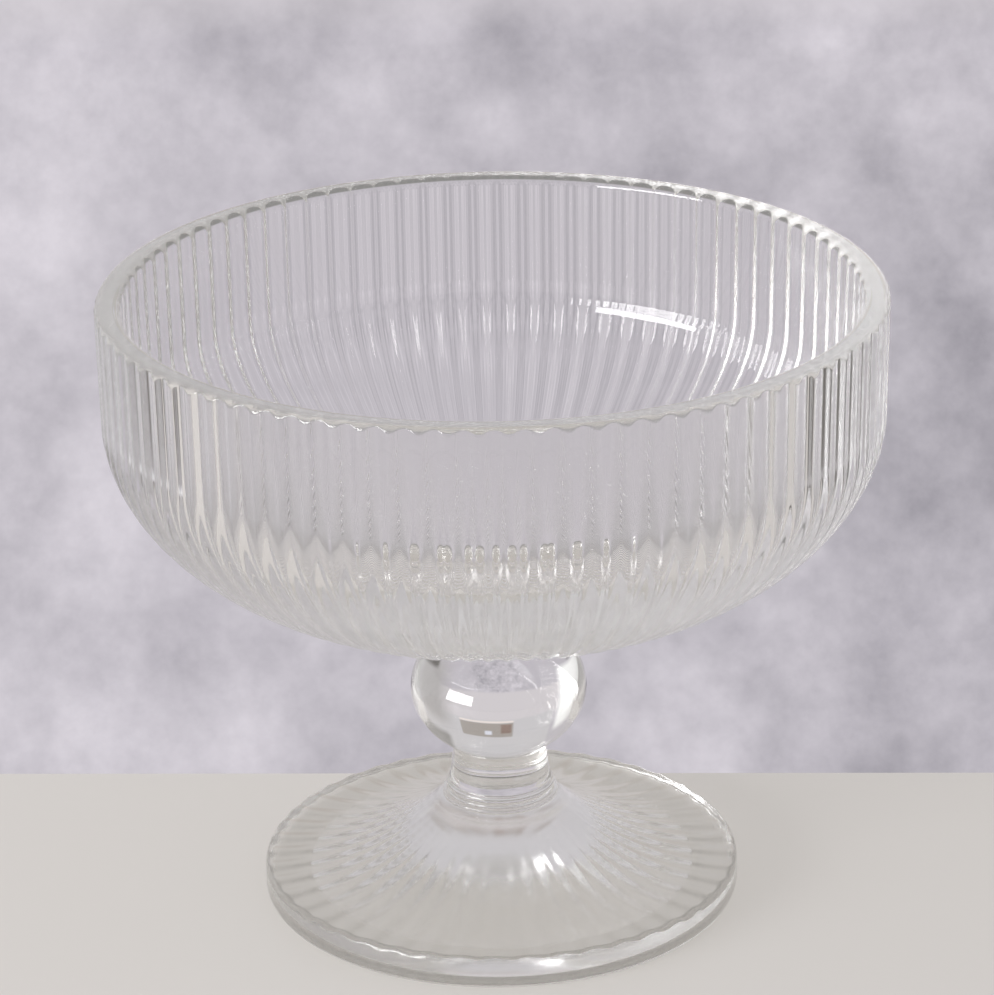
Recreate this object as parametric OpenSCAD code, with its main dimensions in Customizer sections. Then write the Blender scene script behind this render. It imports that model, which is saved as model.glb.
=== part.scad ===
// Footed glass bowl with fluted sides, a ball knop and a reeded foot.
// Clear soda-lime glass, welded hot from five gathers, one above the other.
// Millimetres. Z runs up the axis of the bowl, and the foot stands on Z = 0.

/* [Bowl] */
// Diameter across the rim, outside
rim_d = 120; // [100:1:160]
// Height of the bowl alone, from its weld to the rim
bowl_h = 50.5; // [42:0.5:70]
// Height of the upright wall, measured down from the rim
wall_h = 18.4; // [12:0.1:24]
// Draft of the upright wall: how far its lower end draws in
wall_draft = 0.2; // [0:0.1:1]
// Thickness of the glass at the rim
wall_t = 4; // [3.2:0.1:5]
// Thickness of the glass in the middle of the floor
floor_t = 6; // [4:0.5:9]
// Fire-polished rounding of both edges of the rim
rim_edge_r = 1.5; // [0.8:0.1:1.6]

/* [Flutes] */
// Number of flutes round the bowl
flute_count = 90; // [60:1:100]
// Depth of a flute where the wall is upright
flute_depth = 0.35; // [0.2:0.05:0.7]
// Radius under the bowl at which the flutes run out
flute_end_r = 13; // [12:0.5:18]

/* [Stem] */
// Height of the merese, the button that joins the bowl to the knop
merese_h = 6; // [3:0.5:9]
// Diameter of the merese where the bowl is welded on
merese_d = 20; // [17:0.5:22]
// Diameter of the ball knop
knop_d = 27.7; // [22:0.1:34]
// Height of the knop between its two necks
knop_h = 18.5; // [12:0.5:26]
// Diameter of the necks above and below the knop
neck_d = 14.7; // [10:0.1:16]
// Height of the collar between the foot and the knop
collar_h = 9; // [6:0.1:12]
// Diameter of the collar's rounded ring
collar_d = 17; // [16.8:0.1:20]
// Thickness of the collar's rounded ring
collar_ring_h = 2.1; // [1.5:0.1:3]
// Diameter of the flare that the ring stands out from
collar_flare_d = 16.2; // [15.5:0.1:16.6]
// Thickness of the thin seam ring that the collar stands on
seam_ring_h = 0.7; // [0.4:0.1:1]

/* [Foot] */
// Diameter of the foot
foot_d = 75; // [64:1:100]
// Height of the foot where the collar is welded on
foot_h = 15.6; // [12:0.1:22]
// Height of the plain band round the edge of the foot
edge_h = 5.3; // [3.5:0.1:7]
// Diameter of the top of the foot, under the collar
foot_top_d = 18.2; // [17.4:0.1:21]
// Width of the flat ring that the foot rests on
rest_ring_w = 6; // [3:0.5:9]
// Depth of the shallow hollow under the foot, in the middle
hollow_h = 3.2; // [1.5:0.1:4]
// Height of the step where the hollow starts
hollow_step_h = 0.2; // [0.1:0.1:1]

/* [Reeds] */
// Number of reeds on the foot
reed_count = 45; // [36:1:60]
// Height of a reed at the edge of the foot
reed_h = 0.3; // [0.2:0.1:0.8]
// Radius at which the reeds rise out of the smooth cone
reed_start_r = 12.5; // [11:0.5:16]

/* [Hidden] */
$fn = 96;
GLASS = [0.80, 0.80, 0.79, 0.55];

rim_r = rim_d / 2;
neck_r = neck_d / 2;
knop_r = knop_d / 2;
merese_r = merese_d / 2;
collar_r = collar_d / 2;
flare_r = collar_flare_d / 2;
foot_r = foot_d / 2;
foot_top_r = foot_top_d / 2;

// The knop is a flattened ball, cut off flat where it is as narrow as its necks.
// This is its height over its width.
knop_flat_share = knop_h / 2 / sqrt(knop_r * knop_r - neck_r * neck_r);

// Heights of the welds, from the table upwards.
collar_z = foot_h;
knop_z = collar_z + collar_h;
merese_z = knop_z + knop_h;
bowl_z = merese_z + merese_h;

// The rounded lower part of the bowl is a Bezier curve. These shares of its fall
// and of its reach set how long the curve follows the wall and the floor.
outside_fall_share = 0.48;
outside_reach_share = 0.62;
inside_fall_share = 0.50;
inside_reach_share = 0.60;

// Steps of each part of the section.
outside_steps = 8;
inside_steps = 8;
edge_steps = 2;
inner_edge_steps = 3;
reed_steps = 7;
flare_steps = 8;
hollow_steps = 3;

// Radius of the flat middle of the floor and of the hollow, as shares of what holds them.
floor_flat_share = 0.16;
hollow_flat_share = 0.2;

// Top of the foot: how steeply it runs up to the collar.
foot_rise_power = 2.4;
// The rings of the foot's top lie closer together towards the collar, by this power.
foot_ring_power = 1.5;
// The collar draws in from its flare to the neck, by this power.
flare_power = 2.2;
// Rounding of the foot's lower and upper edges, as shares of its band.
foot_low_round_share = 0.30;
foot_high_round_share = 0.22;

// Points of a relief across one flute or reed, as shares of its depth.
relief_shares = [0, 0.62, 1, 0.62];
reed_shares = [0, 0.5, 1, 0.5];
plain = [0];

// Curve through four points, its slope, and the angle of its normal.
function bezier(p, t) =
    pow(1 - t, 3) * p[0] + 3 * pow(1 - t, 2) * t * p[1]
    + 3 * (1 - t) * t * t * p[2] + pow(t, 3) * p[3];
function bezier_slope(p, t) =
    pow(1 - t, 2) * (p[1] - p[0]) + 2 * (1 - t) * t * (p[2] - p[1])
    + t * t * (p[3] - p[2]);

// A station is one ring of the skin: [radius, height, angle of the normal, relief].
// The relief lists how far the skin stands out at equal steps across one flute.
function relief(shares, depth) = [for (s = shares) s * depth];

function skin_points(stations, count) = [
    for (s = stations)
        for (i = [0 : count - 1])
            for (j = [0 : len(s[3]) - 1])
                let (a = 360 * (i + j / len(s[3])) / count,
                     r = s[0] + s[3][j] * cos(s[2]),
                     z = s[1] + s[3][j] * sin(s[2]))
                [r * cos(a), r * sin(a), z]
];

// Index of the first point of each ring.
function ring_starts(stations, count, m = 0, at = 0) =
    m == len(stations) ? []
    : concat([at], ring_starts(stations, count, m + 1, at + count * len(stations[m][3])));

// Corners of one flute's stretch of a ring.
function corners(start, cols, count, i) = [
    for (j = [0 : cols]) start + (i * cols + j) % (count * cols)
];

// Triangles between the lower corners e and the upper corners t of one flute.
function same_cells(e, t) = [
    for (j = [0 : len(e) - 2])
        each j < (len(e) - 1) / 2
            ? [[e[j], t[j], t[j + 1]], [e[j], t[j + 1], e[j + 1]]]
            : [[e[j], t[j], e[j + 1]], [e[j + 1], t[j], t[j + 1]]]
];
function widening_cells(e, t) =
    let (mid = floor((len(t) - 1) / 2), last = len(t) - 1)
    concat([for (j = [0 : mid - 1]) [e[0], t[j], t[j + 1]]],
           [[e[0], t[mid], e[1]]],
           [for (j = [mid : last - 1]) [e[1], t[j], t[j + 1]]]);
function narrowing_cells(e, t) =
    let (mid = floor((len(e) - 1) / 2), last = len(e) - 1)
    concat([for (j = [0 : mid - 1]) [e[j], t[0], e[j + 1]]],
           [[e[mid], t[0], t[1]]],
           [for (j = [mid : last - 1]) [e[j], t[1], e[j + 1]]]);
function cells(e, t) =
    len(e) == len(t) ? same_cells(e, t)
    : len(e) < len(t) ? widening_cells(e, t)
    : narrowing_cells(e, t);

function skin_faces(stations, count) =
    let (starts = ring_starts(stations, count), last = len(stations) - 1)
    concat(
        [[for (i = [0 : count * len(stations[0][3]) - 1]) starts[0] + i]],
        [[for (i = [count * len(stations[last][3]) - 1 : -1 : 0]) starts[last] + i]],
        [for (m = [0 : last - 1])
            for (i = [0 : count - 1])
                each cells(
                    corners(starts[m], len(stations[m][3]), count, i),
                    corners(starts[m + 1], len(stations[m + 1][3]), count, i))]);

// A closed solid round the Z axis from a list of stations, which run from the
// middle of its underside, out and up, and back in to the middle of its top.
module turned_skin(stations, count)
    polyhedron(
        points = skin_points(stations, count),
        faces = skin_faces(stations, count),
        convexity = 8);

// Outside of the bowl: a quarter curve from the weld to the foot of the wall.
outside_curve = [
    [merese_r, 0],
    [merese_r + outside_reach_share * (rim_r - wall_draft - merese_r), 0],
    [rim_r - wall_draft, (1 - outside_fall_share) * (bowl_h - wall_h)],
    [rim_r - wall_draft, bowl_h - wall_h]
];
// Inside of the bowl: from the foot of the wall to the middle of the floor.
inside_curve = [
    [rim_r - wall_t - wall_draft, bowl_h - wall_h],
    [rim_r - wall_t - wall_draft,
     floor_t + (1 - inside_fall_share) * (bowl_h - wall_h - floor_t)],
    [inside_reach_share * (rim_r - wall_t - wall_draft), floor_t],
    [0, floor_t]
];

// Flutes are shallower where they crowd together, in step with the radius.
function flute_at(r) = -flute_depth * r / rim_r;
function normal_of(slope) = atan2(-slope[0], slope[1]);

// Share of the outside curve at which the flutes have run out.
function run_out_share(lo = 0, hi = 1, n = 12) =
    n == 0 ? (lo + hi) / 2
    : bezier(outside_curve, (lo + hi) / 2)[0] < flute_end_r
        ? run_out_share((lo + hi) / 2, hi, n - 1)
        : run_out_share(lo, (lo + hi) / 2, n - 1);

run_out = run_out_share();

// The flutes run up into the rounding of the rim, and end there in small arches,
// as high as it stands out over the bottom of a flute. At an angle up the rounding,
// the relief is what is left of each flute.
arch_angle = acos(1 - flute_depth / rim_edge_r);
arch_rise_share = 0.5;
function rim_relief(angle) = [
    for (s = relief_shares) -max(0, s * flute_depth - rim_edge_r * (1 - cos(angle)))
];
function rim_point(angle) =
    [rim_r - rim_edge_r + rim_edge_r * cos(angle), bowl_h - rim_edge_r + rim_edge_r * sin(angle)];

bowl_stations = concat(
    [[merese_r, 0, -90, plain]],
    [let (p = bezier(outside_curve, run_out)) [p[0], p[1], -90, plain]],
    [for (k = [1 : outside_steps])
        let (t = run_out + (1 - run_out) * k / outside_steps,
             p = bezier(outside_curve, t),
             s = bezier_slope(outside_curve, t))
        [p[0], p[1], normal_of(s), relief(relief_shares, flute_at(p[0]))]],
    [for (a = [0, arch_angle * arch_rise_share])
        [rim_point(a)[0], rim_point(a)[1], 0, rim_relief(a)]],
    [for (k = [0 : edge_steps])
        let (a = arch_angle + (90 - arch_angle) * k / edge_steps)
        [rim_point(a)[0], rim_point(a)[1], a, plain]],
    [for (k = [0 : inner_edge_steps])
        let (a = 90 + 90 * k / inner_edge_steps)
        [rim_point(a)[0] - wall_t + 2 * rim_edge_r, rim_point(a)[1], a, plain]],
    [for (k = [0 : inside_steps])
        let (t = (1 - floor_flat_share) * k / inside_steps,
             p = bezier(inside_curve, t))
        [p[0], p[1], 90, plain]]);

module bowl()
    color(GLASS)
        translate([0, 0, bowl_z])
            turned_skin(bowl_stations, flute_count);

// The merese flares from the upper neck to the weld under the bowl.
module merese()
    color(GLASS)
        translate([0, 0, merese_z])
            rotate_extrude()
                difference() {
                    square([merese_r, merese_h]);
                    translate([merese_r, 0])
                        scale([(merese_r - neck_r) / merese_h, 1])
                            circle(r = merese_h);
                }

module knop()
    color(GLASS)
        translate([0, 0, knop_z])
            rotate_extrude()
                intersection() {
                    translate([0, knop_h / 2])
                        scale([1, knop_flat_share])
                            circle(r = knop_r);
                    square([knop_r, knop_h]);
                }

// The collar flares from the neck to a rounded ring, on a thin seam ring.
flare_z = seam_ring_h + collar_ring_h;
flare_points = [
    for (k = [0 : flare_steps])
        let (share = k / flare_steps)
        [neck_r + (flare_r - neck_r) * pow(1 - share, flare_power),
         flare_z + (collar_h - flare_z) * share]
];

module collar()
    color(GLASS)
        translate([0, 0, collar_z])
            rotate_extrude() {
                polygon(concat([[0, collar_h], [0, 0], [flare_r, 0]], flare_points));
                square([foot_top_r, seam_ring_h]);
                translate([collar_r - collar_ring_h / 2, seam_ring_h + collar_ring_h / 2])
                    circle(r = collar_ring_h / 2);
            }

// Height of the smooth top of the foot at a radius.
function foot_top_z(r) =
    edge_h + (foot_h - edge_h) * pow((foot_r - r) / (foot_r - foot_top_r), foot_rise_power);
function foot_top_slope(r) =
    -foot_rise_power * (foot_h - edge_h) / (foot_r - foot_top_r)
    * pow((foot_r - r) / (foot_r - foot_top_r), foot_rise_power - 1);
function reed_at(r) = reed_h * r / foot_r;
function hollow_z(r) =
    hollow_step_h + (hollow_h - hollow_step_h) * pow(1 - pow(r / hollow_r, 2), 2);

low_round = foot_low_round_share * edge_h;
high_round = foot_high_round_share * edge_h;
hollow_r = foot_r - low_round - rest_ring_w;
reed_end_r = foot_r - high_round;

foot_stations = concat(
    [for (k = [0 : hollow_steps])
        let (r = hollow_r * (hollow_flat_share + (1 - hollow_flat_share) * k / hollow_steps))
        [r, hollow_z(r), -90, plain]],
    [[hollow_r, 0, -90, plain]],
    [for (k = [0 : edge_steps])
        let (a = -90 + 90 * k / edge_steps)
        [foot_r - low_round + low_round * cos(a), low_round + low_round * sin(a), a, plain]],
    [[foot_r, edge_h - high_round, 0, plain]],
    [let (a = 45)
        [foot_r - high_round + high_round * cos(a), edge_h - high_round + high_round * sin(a),
         a, relief(reed_shares, reed_h / 2)]],
    [for (k = [0 : reed_steps - 1])
        let (share = 1 - pow(1 - k / reed_steps, foot_ring_power),
             r = reed_end_r + (reed_start_r - reed_end_r) * share)
        [r, foot_top_z(r), 90 + atan(foot_top_slope(r)), relief(reed_shares, reed_at(r))]],
    [for (r = [reed_start_r, (reed_start_r + foot_top_r) / 2, foot_top_r])
        [r, foot_top_z(r), 90, plain]]);

module foot()
    color(GLASS)
        turned_skin(foot_stations, reed_count);

foot();
collar();
knop();
merese();
bowl();
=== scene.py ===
import math

import bpy
import numpy as np
from mathutils import Matrix, Vector


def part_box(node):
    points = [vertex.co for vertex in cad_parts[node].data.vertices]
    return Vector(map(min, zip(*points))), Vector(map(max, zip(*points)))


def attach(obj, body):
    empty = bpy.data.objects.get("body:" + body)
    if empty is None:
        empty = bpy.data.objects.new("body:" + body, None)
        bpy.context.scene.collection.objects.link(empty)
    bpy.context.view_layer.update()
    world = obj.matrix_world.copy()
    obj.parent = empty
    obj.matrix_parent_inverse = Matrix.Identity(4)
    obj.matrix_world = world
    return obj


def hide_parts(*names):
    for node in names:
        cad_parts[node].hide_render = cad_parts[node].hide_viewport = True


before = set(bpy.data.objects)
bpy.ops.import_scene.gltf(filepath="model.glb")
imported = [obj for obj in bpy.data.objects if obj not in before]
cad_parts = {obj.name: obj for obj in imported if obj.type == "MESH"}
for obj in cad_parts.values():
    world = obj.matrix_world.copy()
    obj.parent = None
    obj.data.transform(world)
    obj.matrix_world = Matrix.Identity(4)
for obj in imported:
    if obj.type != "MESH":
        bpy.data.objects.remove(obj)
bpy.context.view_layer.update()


# The foot is one pressed disc of clear soda-lime glass that rises to the stem. 45 convex reeds
# fan out over it and end in scallops above a plain edge band. It rests on a narrow ring, with a
# shallow hollow inside it, and the stem is welded on while both are hot.
_, foot_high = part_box("foot")
foot_r = foot_high.x
foot_top_r = 0.0091
foot_top_z = foot_high.z
rest_ring_w = 0.006
edge_h = 0.0053
low_round = 0.0015
high_round = 0.0011
hollow_h = 0.0032
hollow_r = foot_r - low_round - rest_ring_w
foot_round_r = foot_r - high_round
rise_power = 2.4
reed_count = 45
reed_h = 0.0002
reed_start_r = 0.0125
reed_full_r = 0.024
scallop_low_z = edge_h - 0.6 * high_round
scallop_h = 0.5 * high_round

# A section that reaches the axis ends this far from it, and its mesh closes there in a point.
axis_r = 0.0001


def arc(centre_r, centre_z, radius, start, end, steps):
    """Points of a round stretch of a section, from the angle start to end, in degrees."""
    turns = np.radians(np.linspace(start, end, steps + 1))
    return np.stack([centre_r + radius * np.cos(turns), centre_z + radius * np.sin(turns)], 1)


def outward(section):
    """Normals of a section that runs outwards under a piece and up its outside."""
    along = np.gradient(section, axis=0)
    along /= np.linalg.norm(along, axis=1, keepdims=True)
    return np.stack([along[:, 1], -along[:, 0]], 1)


def put_in_scene(name, data):
    """A new object in the scene, with this mesh, lamp or camera."""
    made = bpy.data.objects.new(name, data)
    bpy.context.scene.collection.objects.link(made)
    return made


def turned_skin(name, section, lift, turns, plain_from=None, plain_step=1):
    """A closed mesh round the Z axis. lift says how far each point stands out from the section,
    by station and column. From the station plain_from on, the piece is plain and keeps only one
    column in plain_step. An end of the section that isn't on the axis is closed by a weld face."""
    stations = len(section)
    plain_from = stations if plain_from is None else plain_from
    normals = outward(section)
    r = section[:, :1] + normals[:, :1] * lift
    z = section[:, 1:] + normals[:, 1:] * lift
    skin = np.stack([r * np.cos(turns), r * np.sin(turns), np.broadcast_to(z, r.shape)], 2)
    points = list(map(tuple, skin[:plain_from].reshape(-1, 3)))
    points += list(map(tuple, skin[plain_from:, ::plain_step].reshape(-1, 3)))
    faces = []
    rings = []
    for station in range(stations):
        columns = len(turns) // plain_step if station >= plain_from else len(turns)
        start = rings[-1][-1] + 1 if rings else 0
        rings.append(np.arange(start, start + columns))
        if station == 0:
            continue
        last, here = rings[-2:]
        step = len(last) // len(here)
        under = [np.roll(last, -i)[::step] for i in range(step + 1)]
        faces += np.stack([*under, np.roll(here, -1), here], 1).tolist()
    welds = []
    for station, order in ((0, -1), (stations - 1, 1)):
        points.append((0.0, 0.0, float(section[station, 1])))
        middle = len(points) - 1
        ring = rings[station]
        fan = [[int(a), int(b), middle][::order] for a, b in zip(ring, np.roll(ring, -1))]
        if section[station, 0] > 2 * axis_r:
            welds += range(len(faces), len(faces) + len(fan))
        faces += fan
    mesh = bpy.data.meshes.new(name)
    mesh.from_pydata(points, [], faces)
    mesh.polygons.foreach_set("use_smooth", [True] * len(faces))
    for face in welds:
        mesh.polygons[face].use_smooth = False
        mesh.polygons[face].material_index = 1
    mesh.update()
    return put_in_scene(name, mesh)


def plug(tree, socket, value):
    """Feeds a socket from another one, or sets it to a number or a colour."""
    if isinstance(value, bpy.types.NodeSocket):
        tree.links.new(value, socket)
    elif isinstance(value, tuple):
        socket.default_value = (*value, 1)
    else:
        socket.default_value = value


def calculate(tree, operation, *values, clamp=False):
    """The result of a math node for these numbers and sockets."""
    made = tree.nodes.new("ShaderNodeMath")
    made.operation = operation
    made.use_clamp = clamp
    for socket, value in zip(made.inputs, values):
        plug(tree, socket, value)
    return made.outputs[0]


def noise(tree, place, scale, detail, roughness=0.5):
    """Cloudy values round a half. A larger scale makes smaller clouds."""
    made = tree.nodes.new("ShaderNodeTexNoise")
    plug(tree, made.inputs["Vector"], place)
    plug(tree, made.inputs["Scale"], scale)
    plug(tree, made.inputs["Detail"], detail)
    plug(tree, made.inputs["Roughness"], roughness)
    return made.outputs["Fac"]


def share_between(tree, value, low, high, interpolation="LINEAR"):
    """How far a value is on its way from low to high, from 0 to 1."""
    made = tree.nodes.new("ShaderNodeMapRange")
    made.interpolation_type = interpolation
    plug(tree, made.inputs["Value"], value)
    plug(tree, made.inputs["From Min"], low)
    plug(tree, made.inputs["From Max"], high)
    return made.outputs["Result"]


def shader_group(name, takes, gives):
    """An empty shader group whose sockets are all values, with what goes in and what comes out."""
    group = bpy.data.node_groups.new(name, "ShaderNodeTree")
    for socket in takes:
        group.interface.new_socket(socket, in_out="INPUT", socket_type="NodeSocketFloat")
    for socket in gives:
        group.interface.new_socket(socket, in_out="OUTPUT", socket_type="NodeSocketFloat")
    given = group.nodes.new("NodeGroupInput").outputs
    result = group.nodes.new("NodeGroupOutput").inputs
    return group, given, result


def pressed_skin():
    """Shader group: the slow waves that a mould leaves on glass, and faint haze from handling."""
    group, given, result = shader_group(
        "pressed skin", ("Wave size", "Wave height", "Haze", "Satin"), ("Height", "Roughness"))
    place = group.nodes.new("ShaderNodeTexCoord").outputs["Object"]
    waves = noise(group, place, calculate(group, "DIVIDE", 1.0, given["Wave size"]), detail=1.0)
    height = calculate(group, "MULTIPLY", waves, given["Wave height"])
    group.links.new(height, result["Height"])
    patches = noise(group, place, scale=160.0, detail=4.0)
    hazy = share_between(group, patches, low=0.55, high=0.8)
    roughness = calculate(group, "MULTIPLY_ADD", hazy, given["Haze"], given["Satin"])
    group.links.new(roughness, result["Roughness"])
    return group


def see_through(tree, colour):
    """A shader that light crosses without bending, tinted by the colour."""
    made = tree.nodes.new("ShaderNodeBsdfTransparent")
    plug(tree, made.inputs["Color"], colour)
    return made.outputs["BSDF"]


def switch(tree, share, first, second):
    """The first shader where the share is 0, and the second where it is 1."""
    made = tree.nodes.new("ShaderNodeMixShader")
    tree.links.new(share, made.inputs["Fac"])
    tree.links.new(first, made.inputs[1])
    tree.links.new(second, made.inputs[2])
    return made.outputs["Shader"]


def new_material(name):
    """A new material, its empty tree, and the socket that takes the shader of its surface."""
    material = bpy.data.materials.new(name)
    material.use_nodes = True
    tree = material.node_tree
    tree.nodes.clear()
    return material, tree, tree.nodes.new("ShaderNodeOutputMaterial").inputs["Surface"]


skin_group = pressed_skin()
glass_ior = 1.51
glass_colour = (0.976, 0.972, 0.967)
lit_through_colour = (0.97, 0.97, 0.96)
shadow_colour = (0.72, 0.715, 0.705)
millimetre = 0.001


def clear_glass(name, wave_size, wave_height, haze, satin=0.0):
    """Clear glass with the waves and haze of pressed work. The size of the waves is in metres,
    and their height in millimetres. Lamps and the even light of the room shine through it."""
    material, tree, surface = new_material(name)
    skin = tree.nodes.new("ShaderNodeGroup")
    skin.node_tree = skin_group
    skin.inputs["Wave size"].default_value = wave_size
    skin.inputs["Wave height"].default_value = wave_height
    skin.inputs["Haze"].default_value = haze
    skin.inputs["Satin"].default_value = satin
    bump = tree.nodes.new("ShaderNodeBump")
    bump.inputs["Strength"].default_value = 1.0
    bump.inputs["Distance"].default_value = millimetre
    tree.links.new(skin.outputs["Height"], bump.inputs["Height"])
    glass = tree.nodes.new("ShaderNodeBsdfPrincipled")
    glass.inputs["Base Color"].default_value = (*glass_colour, 1)
    glass.inputs["Metallic"].default_value = 0.0
    glass.inputs["Transmission Weight"].default_value = 1.0
    glass.inputs["IOR"].default_value = glass_ior
    tree.links.new(bump.outputs["Normal"], glass.inputs["Normal"])
    tree.links.new(skin.outputs["Roughness"], glass.inputs["Roughness"])
    path = tree.nodes.new("ShaderNodeLightPath").outputs
    lit_through = see_through(tree, lit_through_colour)
    for_light = switch(tree, path["Is Diffuse Ray"], glass.outputs["BSDF"], lit_through)
    shade = see_through(tree, shadow_colour)
    tree.links.new(switch(tree, path["Is Shadow Ray"], for_light, shade), surface)
    return material


# Where two pieces were welded hot the glass runs on, so the face between them can't be seen.
weld, weld_tree, weld_surface = new_material("weld")
weld_tree.links.new(see_through(weld_tree, (1.0, 1.0, 1.0)), weld_surface)


def set_in_place(piece, node, material):
    """Gives a glass piece its finish, and puts it in place of its plain solid."""
    piece.data.materials.append(material)
    piece.data.materials.append(weld)
    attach(piece, "root")
    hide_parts(node)


def columns_of(count, shares):
    """Turns of the columns round a piece with count flutes, and each one's share of its flute."""
    places = np.add.outer(np.arange(count), shares).ravel() * 2 * math.pi / count
    return places, np.tile(shares, count)


def cone_z(r):
    """Height of the foot's upper side, which rises faster and faster towards the stem."""
    rise = (foot_r - r) / (foot_r - foot_top_r)
    return edge_h + (foot_top_z - edge_h) * rise ** rise_power


hollow_stations = 24
low_round_steps = 6
high_round_steps = 14
full_reed_stations = 26
rising_reed_stations = 14
reed_columns = 12
hollow_radii = np.linspace(axis_r, hollow_r, hollow_stations)
hollow_share = (1 - (hollow_radii / hollow_r) ** 2) ** 2
cone_radii = np.concatenate([
    np.linspace(foot_round_r, reed_full_r, full_reed_stations)[1:],
    np.linspace(reed_full_r, foot_top_r, rising_reed_stations)[1:]])
foot_section = np.concatenate([
    np.stack([hollow_radii, hollow_h * hollow_share], 1),
    arc(foot_r - low_round, low_round, low_round, -90, 0, low_round_steps),
    arc(foot_round_r, edge_h - high_round, high_round, 0, 90, high_round_steps),
    np.stack([cone_radii, cone_z(cone_radii)], 1)])
foot_turns, foot_shares = columns_of(reed_count, np.linspace(0, 1, reed_columns + 1)[:-1])
reed_form = (1 - np.cos(2 * math.pi * foot_shares)) / 2
station_r = foot_section[:, 0]
station_z = foot_section[:, 1]
rising = np.clip((station_r - reed_start_r) / (reed_full_r - reed_start_r), 0, 1)
ending = np.clip((station_z - scallop_low_z) / scallop_h, 0, 1)
above_band = station_z > edge_h - high_round
reed_lift = reed_h * above_band * np.sin(rising * math.pi / 2) * ending
foot = turned_skin("foot_glass", foot_section, np.outer(reed_lift, reed_form), foot_turns)
foot_finish = clear_glass("foot glass", wave_size=0.009, wave_height=0.05, haze=0.03, satin=0.13)
set_in_place(foot, "foot", foot_finish)


# The collar is the short neck above the foot: a rounded ring with a thin seam ring under it, where
# the two halves of the mould met. It is clear glass, welded to the foot below and the knop above.
collar_low, collar_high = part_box("collar")
neck_r = 0.00735
seam_h = 0.0007
seam_round = seam_h / 2
seam_degrees = 75
seam_steps = 5
ring_r = 0.0085
ring_h = 0.0021
ring_round = ring_h / 2
ring_degrees = 50
ring_steps = 12
ring_low_z = collar_low.z + seam_h
flare_r = 0.0081
flare_power = 2.2
flare_steps = 16
flare_low_z = ring_low_z + ring_h
stem_columns = 144
stem_turns = np.linspace(0, 2 * math.pi, stem_columns + 1)[:-1]
flare_rise = np.linspace(0, 1, flare_steps + 1)
collar_section = np.concatenate([
    [[foot_top_r, collar_low.z]],
    arc(foot_top_r - seam_round, collar_low.z + seam_round, seam_round, 0, seam_degrees, seam_steps),
    arc(ring_r - ring_round, ring_low_z + ring_round, ring_round, -ring_degrees, ring_degrees, ring_steps),
    np.stack([
        neck_r + (flare_r - neck_r) * (1 - flare_rise) ** flare_power,
        flare_low_z + (collar_high.z - flare_low_z) * flare_rise], 1)])
collar_lift = np.zeros((len(collar_section), stem_columns))
collar = turned_skin("collar_glass", collar_section, collar_lift, stem_turns)
set_in_place(collar, "collar", clear_glass("collar glass", wave_size=0.006, wave_height=0.04, haze=0.02))


# The knop is the ball in the stem, a solid drop of clear glass turned while soft. It isn't a
# perfect ball: it is flatter, and slow waves run round it, left from the turning.
knop_low, knop_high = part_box("knop")
knop_r = knop_high.x
knop_mid_z = (knop_low.z + knop_high.z) / 2
knop_flat = (knop_high.z - knop_mid_z) / math.sqrt(1 - (neck_r / knop_r) ** 2) / knop_r
knop_steps = 72
knop_wave_h = 0.00004
knop_waves_round = 3
knop_waves_up = 5
neck_angle = math.degrees(math.acos(neck_r / knop_r))
knop_ball = arc(0, 0, knop_r, -neck_angle, neck_angle, knop_steps)
knop_section = knop_ball * (1, knop_flat) + (0, knop_mid_z)
knop_angles = np.linspace(-neck_angle, neck_angle, knop_steps + 1)
fall = np.cos(np.radians(knop_angles))[:, None]
waves_round = np.sin(knop_waves_round * stem_turns + 0.7)
waves_up = np.sin(knop_waves_up * fall + 1)
knop_lift = -knop_wave_h * fall * (1 + waves_round * waves_up)
knop = turned_skin("knop_glass", knop_section, knop_lift, stem_turns)
set_in_place(knop, "knop", clear_glass("knop glass", wave_size=0.011, wave_height=0.06, haze=0.02))


# The merese is the button of clear glass that spreads from the knop to the bowl, welded to both
# while hot. It hides behind the bowl's rounded side, and only its flare shows.
merese_low, merese_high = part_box("merese")
merese_r = 0.010
merese_steps = 12
flare = np.radians(np.linspace(0, 90, merese_steps + 1))
merese_section = np.stack([
    merese_r - (merese_r - neck_r) * np.cos(flare),
    merese_low.z + (merese_high.z - merese_low.z) * np.sin(flare)], 1)
merese_lift = np.zeros((len(merese_section), stem_columns))
merese = turned_skin("merese_glass", merese_section, merese_lift, stem_turns)
set_in_place(merese, "merese", clear_glass("merese glass", wave_size=0.006, wave_height=0.03, haze=0.02))


# The bowl is pressed clear glass: upright at the rim, rounded below, and smooth inside. 90 concave
# flutes start in small arches in the rounding of the rim, with rounded ridges between them. They
# run down the wall and round under the bowl, get narrower there and run out beside the merese.
bowl_low, bowl_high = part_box("bowl")
rim_r = bowl_high.y
bowl_z = bowl_low.z
bowl_top = bowl_high.z
wall_h = 0.0184
wall_draft = 0.0002
wall_t = 0.004
floor_t = 0.006
rim_edge = 0.0015
rim_polish = 0.00002
flute_count = 90
flute_depth = 0.00045
ridge_share = 0.5
flute_end_r = 0.0125
flute_run_out = 0.3 * flute_end_r
wall_low_z = bowl_top - wall_h
wall_low_r = rim_r - wall_draft
inside_r = rim_r - wall_t
inside_low_r = inside_r - wall_draft
floor_z = bowl_z + floor_t


def bezier(points, shares):
    """Points of the curve from the first of four points to the last, bent by the two between."""
    t = np.asarray(shares)[:, None]
    p = np.asarray(points)
    return (1 - t) ** 3 * p[0] + 3 * (1 - t) ** 2 * t * p[1] + 3 * (1 - t) * t * t * p[2] + t ** 3 * p[3]


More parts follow.
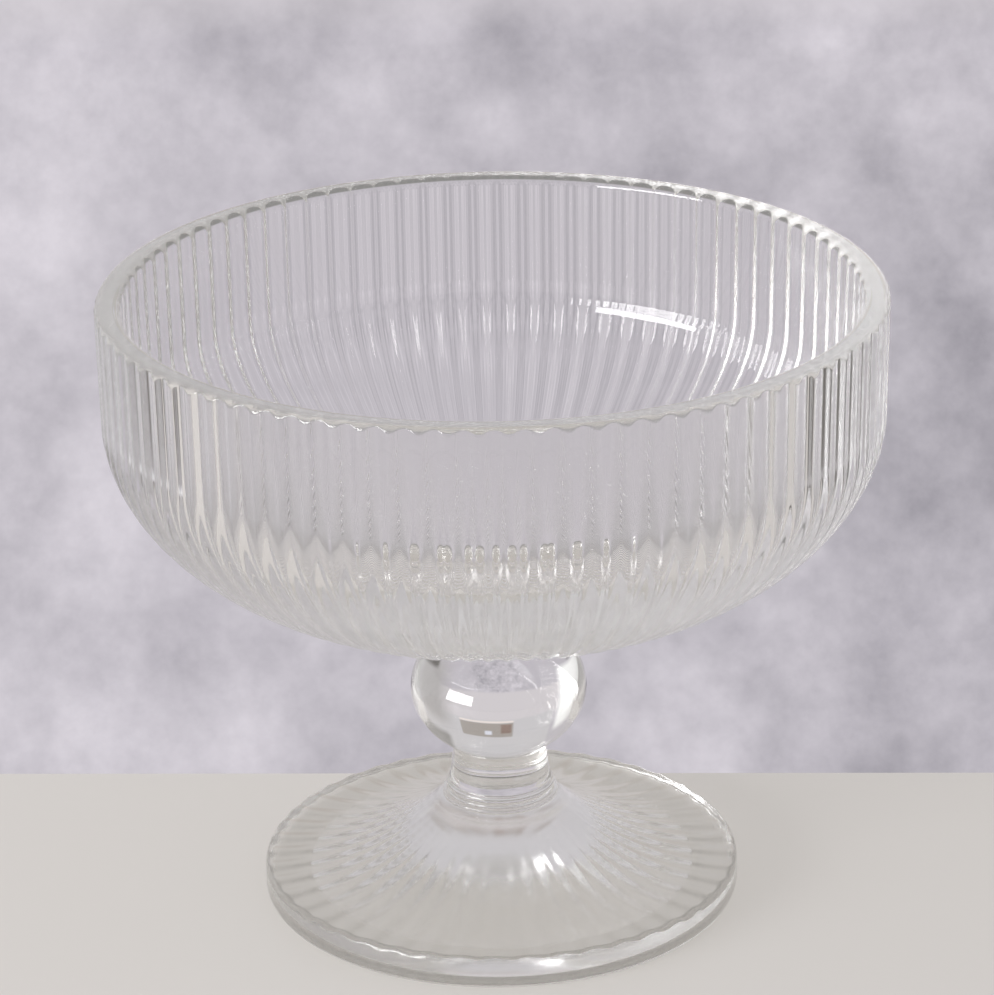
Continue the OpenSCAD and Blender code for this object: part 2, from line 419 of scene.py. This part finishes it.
# How far the points that bend the two curves stand out and up, as shares of each curve.
outside_out, outside_up = 0.62, 0.52
inside_out, inside_up = 0.6, 0.5
outside_curve = [
    (merese_r, bowl_z),
    (merese_r + outside_out * (wall_low_r - merese_r), bowl_z),
    (wall_low_r, bowl_z + outside_up * (wall_low_z - bowl_z)),
    (wall_low_r, wall_low_z)]
inside_curve = [
    (inside_low_r, wall_low_z),
    (inside_low_r, floor_z + inside_up * (wall_low_z - floor_z)),
    (inside_out * inside_low_r, floor_z),
    (axis_r, floor_z)]
side_stations = 30
inside_stations = 24
wall_steps = 2
arch_degrees = 60
arch_steps = 12
edge_steps = 4
rim_mid_z = bowl_top - rim_edge
outer_mid_r = rim_r - rim_edge
inner_mid_r = inside_r + rim_edge
wall_line = np.stack([
    np.linspace(wall_low_r, rim_r, wall_steps + 1),
    np.linspace(wall_low_z, rim_mid_z, wall_steps + 1)], 1)
bowl_section = np.concatenate([
    bezier(outside_curve, np.linspace(0, 1, side_stations)),
    wall_line[1:],
    arc(outer_mid_r, rim_mid_z, rim_edge, 0, arch_degrees, arch_steps)[1:],
    arc(outer_mid_r, rim_mid_z, rim_edge, arch_degrees, 90, edge_steps)[1:],
    arc(inner_mid_r, rim_mid_z, rim_edge, 90, 180, 2 * edge_steps),
    bezier(inside_curve, np.linspace(0, 1, inside_stations))])
flute_shares = np.array([
    0, 0.05, 0.1, 0.15, 0.2, 0.26, 0.32, 0.38, 0.44,
    0.5, 0.56, 0.62, 0.68, 0.74, 0.8, 0.85, 0.9, 0.95])
bowl_turns, bowl_shares = columns_of(flute_count, flute_shares)
from_ridge = np.minimum(bowl_shares, 1 - bowl_shares)
across = (0.5 - from_ridge) / (0.5 - ridge_share / 2)
flute_form = np.where(
    from_ridge < ridge_share / 2,
    ridge_share * (2 * from_ridge / ridge_share) ** 2,
    1 - (1 - ridge_share) * across ** 2)
bowl_rs = bowl_section[:, 0]
bowl_zs = bowl_section[:, 1]
outside_stations = side_stations + wall_steps + arch_steps
outside = np.arange(len(bowl_section)) < outside_stations
running_out = np.clip((bowl_rs - flute_end_r) / flute_run_out, 0, 1)
flute_cut = np.outer(flute_depth * bowl_rs / rim_r * running_out, flute_form)

# A flute is cut straight up into the rounding of the rim, so it comes out there in an arch. The
# polish softens the edge of the arch.
rounding = np.clip((bowl_zs - rim_mid_z) / rim_edge, 0, math.sin(math.radians(arch_degrees)))
level = np.sqrt(1 - rounding ** 2)[:, None]
cut = flute_cut - rim_edge * (1 - level)
cut = (cut + np.sqrt(cut ** 2 + rim_polish ** 2)) / 2
flute_lift = -cut * outside[:, None] / level
inside_column_step = 3
bowl = turned_skin(
    "bowl_glass", bowl_section, flute_lift, bowl_turns, outside_stations, inside_column_step)
set_in_place(bowl, "bowl", clear_glass("bowl glass", wave_size=0.018, wave_height=0.012, haze=0.02))


# The table is a wide board, 22 mm thick, with a pale satin finish. It ends just behind the foot,
# and its far edge runs a little askew to the camera.
table_edge_y = 0.0383
table_edge_turn = math.radians(-2.0)
table_w = 2.4
table_deep = 0.42
table_t = 0.022
table_roughness = 0.55
table_gloss = 0.25
table_dark = (0.68, 0.645, 0.622)
table_pale = (0.73, 0.695, 0.67)


def blend(tree, share, first, second):
    """A colour between two, each of them a colour or a socket, by the share of the second."""
    made = tree.nodes.new("ShaderNodeMix")
    made.data_type = "RGBA"
    plug(tree, made.inputs["Factor"], share)
    plug(tree, made.inputs["A"], first)
    plug(tree, made.inputs["B"], second)
    return made.outputs["Result"]


def satin_paint():
    """Satin paint whose tone drifts slowly over the board."""
    material, tree, surface = new_material("pale board")
    place = tree.nodes.new("ShaderNodeTexCoord").outputs["Object"]
    tone = noise(tree, place, scale=3.0, detail=2.0)
    paint = tree.nodes.new("ShaderNodeBsdfPrincipled")
    tree.links.new(blend(tree, tone, table_dark, table_pale), paint.inputs["Base Color"])
    paint.inputs["Roughness"].default_value = table_roughness
    paint.inputs["Specular IOR Level"].default_value = table_gloss
    tree.links.new(paint.outputs["BSDF"], surface)
    return material


table_corners = [(x, y, z) for z in (-table_t, 0.0) for x, y in (
    (-table_w / 2, -table_deep), (table_w / 2, -table_deep),
    (table_w / 2, table_edge_y), (-table_w / 2, table_edge_y))]
table_faces = [(3, 2, 1, 0), (4, 5, 6, 7), (0, 1, 5, 4), (1, 2, 6, 5), (2, 3, 7, 6), (3, 0, 4, 7)]
table_mesh = bpy.data.meshes.new("table")
table_mesh.from_pydata(table_corners, [], table_faces)
table_mesh.transform(Matrix.Rotation(table_edge_turn, 4, "Z"))
table = put_in_scene("table", table_mesh)
table.data.materials.append(satin_paint())


# The backdrop is a board painted in mottled lavender grey, and round it is the room that the glass
# shows: a shelf over the board, a bright wall on the left, greyer walls on the right and in front,
# and dark floors beside the table. The world draws it all, and lights matt things evenly instead.
plain_board = (0.53, 0.503, 0.548)
board_dark = (0.345, 0.328, 0.366)
board_pale = (0.715, 0.678, 0.732)
spot_strength = 0.6
# The board's right side takes a little painted shade, away from the bright wall on the left.
right_painted_shade = 0.07
even_light = (0.74, 0.74, 0.74)

# Each patch: turn to the right from straight behind the bowl, half its width, rise, half its
# height and softness of its edge, all in degrees, and its colour. A later patch lies over an
# earlier one, and the board has its mottling for a colour.
patch_sockets = ("Middle turn", "Half width", "Middle rise", "Half height", "Soft")
room = (
    ("mottled board", 0, 13, -22, 13, 8, None),
    ("ceiling", 0, 200, 90, 54, 16, (0.57, 0.56, 0.56)),
    ("top of the board", 0, 34, -4.8, 9.7, 1.5, (0.66, 0.625, 0.65)),
    ("room over the board", 11, 41, 20, 17, 1.5, (0.60, 0.585, 0.605)),
    ("light under the shelf", 6.5, 13.5, 4.6, 0.8, 0.8, (0.85, 0.77, 0.74)),
    ("shelf over the board", 6.5, 13.5, 11, 5.6, 1, (0.38, 0.345, 0.32)),
    ("brown box on the shelf", -3.5, 2.6, 10, 3.5, 1, (0.27, 0.19, 0.16)),
    ("white box on the shelf", 5.5, 1.8, 13, 1.6, 1, (0.75, 0.76, 0.85)),
    ("left wall", -71, 37, -1.5, 21.5, 4, (1.05, 1.05, 1.04)),
    ("wall on the right", 44, 16, -8, 22, 12, (0.44, 0.42, 0.42)),
    ("dark corner on the right", 46, 15, 33, 12, 4, (0.26, 0.25, 0.245)),
    ("right wall", 105, 45, 6, 30, 8, (0.46, 0.45, 0.44)),
    ("front wall", 201, 51, 12, 26, 8, (0.40, 0.39, 0.38)),
    ("floor in front", 180, 100, -45, 42, 4, (0.07, 0.065, 0.06)),
    ("floor on the right", 56, 20, -35.5, 11, 3, (0.14, 0.13, 0.12)),
    ("floor on the left", -74, 26, -36, 11, 3, (0.15, 0.135, 0.125)),
    ("floor behind the table", 0, 80, -64, 26, 4, (0.25, 0.245, 0.24)),
)


def room_patch():
    """Shader group: the share of a soft-edged patch of the room, by turn and rise in radians."""
    group, given, result = shader_group("room patch", ("Turn", "Rise", *patch_sockets), ("Share",))
    shares = []
    for seen, middle, half in (
            ("Turn", "Middle turn", "Half width"), ("Rise", "Middle rise", "Half height")):
        away = calculate(group, "SUBTRACT", given[seen], given[middle])
        if seen == "Turn":
            away = calculate(group, "WRAP", away, math.pi, -math.pi)
        away = calculate(group, "ABSOLUTE", away)
        inside = calculate(group, "SUBTRACT", given[half], away)
        inside = calculate(group, "DIVIDE", inside, given["Soft"])
        shares.append(calculate(group, "ADD", inside, 0.5, clamp=True))
    group.links.new(calculate(group, "MULTIPLY", *shares), result["Share"])
    return group


def mottling(tree, place, turn):
    """Colours of the board: clouds with smaller spots in them, and a little painted shade on the right."""
    clouds = noise(tree, place, scale=12.0, detail=7.0, roughness=0.68)
    spots = noise(tree, place, scale=34.0, detail=4.0, roughness=0.6)
    tone = calculate(tree, "MULTIPLY_ADD", spots, spot_strength, clouds)
    # Painted shade: the board grows a little darker towards the right, away from the bright left wall.
    shade_to_right = share_between(tree, turn, math.radians(-7), math.radians(6), "SMOOTHSTEP")
    tone = calculate(tree, "MULTIPLY_ADD", shade_to_right, -right_painted_shade, tone)
    paleness = share_between(tree, tone, low=0.5, high=1.0)
    return blend(tree, paleness, board_dark, board_pale)


def backdrop():
    """The world: the room for all that is seen or mirrored, and the even light for the rest."""
    world = bpy.data.worlds.new("studio")
    bpy.context.scene.world = world
    world.use_nodes = True
    tree = world.node_tree
    tree.nodes.clear()
    place = tree.nodes.new("ShaderNodeTexCoord").outputs["Generated"]
    sides = tree.nodes.new("ShaderNodeSeparateXYZ")
    tree.links.new(place, sides.inputs["Vector"])
    turn = calculate(tree, "ARCTAN2", sides.outputs["X"], sides.outputs["Y"])
    rise = calculate(tree, "ARCSINE", sides.outputs["Z"])
    mottled = mottling(tree, place, turn)
    patch_group = room_patch()
    seen = plain_board
    for name, *patch, colour in room:
        share = tree.nodes.new("ShaderNodeGroup")
        share.name = name
        share.node_tree = patch_group
        tree.links.new(turn, share.inputs["Turn"])
        tree.links.new(rise, share.inputs["Rise"])
        for socket, degrees in zip(patch_sockets, patch):
            share.inputs[socket].default_value = math.radians(degrees)
        seen = blend(tree, share.outputs["Share"], seen, colour or mottled)
    path = tree.nodes.new("ShaderNodeLightPath").outputs
    direct = calculate(tree, "ADD", path["Is Camera Ray"], path["Is Glossy Ray"])
    direct = calculate(tree, "ADD", direct, path["Is Transmission Ray"], clamp=True)
    light = tree.nodes.new("ShaderNodeBackground")
    tree.links.new(blend(tree, direct, even_light, seen), light.inputs["Color"])
    surface = tree.nodes.new("ShaderNodeOutputWorld")
    tree.links.new(light.outputs["Background"], surface.inputs["Surface"])


backdrop()


# One large window stands in front of the bowl on the left. It brightens the table and lays the
# bowl's soft shadow behind the foot on the right. The camera can't see it.
window_turn = math.radians(-127)
window_far = 1.5
window_z = 0.36
window_w = 1.0
window_h = 0.5
window_radiance = 14.0
lamp = bpy.data.lights.new("window_left", "AREA")
lamp.shape = "RECTANGLE"
lamp.size = window_w
lamp.size_y = window_h
lamp.energy = window_radiance * math.pi * window_w * window_h
window_place = Vector((
    math.sin(window_turn) * window_far, math.cos(window_turn) * window_far, window_z))
window = put_in_scene("window_left", lamp)
window.location = window_place
window.rotation_mode = "QUATERNION"
window.rotation_quaternion = (Vector((0, 0, window_z)) - window_place).to_track_quat("-Z", "Y")
window.visible_camera = False


# The camera stands 0.63 m off, in front of the bowl, and looks down on it through a long lens. It
# leans a little to one side.
camera_place = Vector((0.00059, -0.5802, 0.2974))
camera_down = math.radians(21.794)
camera_turn = math.radians(0.035)
camera_roll = math.radians(-0.950)
sensor_mm = 36.0
lens_mm = 147.05
camera = put_in_scene("camera", bpy.data.cameras.new("camera"))
camera.data.sensor_fit = "HORIZONTAL"
camera.data.sensor_width = sensor_mm
camera.data.lens = lens_mm
camera.data.clip_start = 0.01
camera.matrix_world = (
    Matrix.Translation(camera_place)
    @ Matrix.Rotation(camera_turn, 4, "Z")
    @ Matrix.Rotation(math.pi / 2 - camera_down, 4, "X")
    @ Matrix.Rotation(camera_roll, 4, "Z"))
bpy.context.scene.camera = camera
bpy.context.scene.view_settings.view_transform = "Standard"

# Light crosses many faces of glass before it reaches the table.
glass_bounces = 24
bpy.context.scene.cycles.max_bounces = glass_bounces
bpy.context.scene.cycles.glossy_bounces = glass_bounces
bpy.context.scene.cycles.transmission_bounces = glass_bounces
bpy.context.scene.cycles.transparent_max_bounces = 32
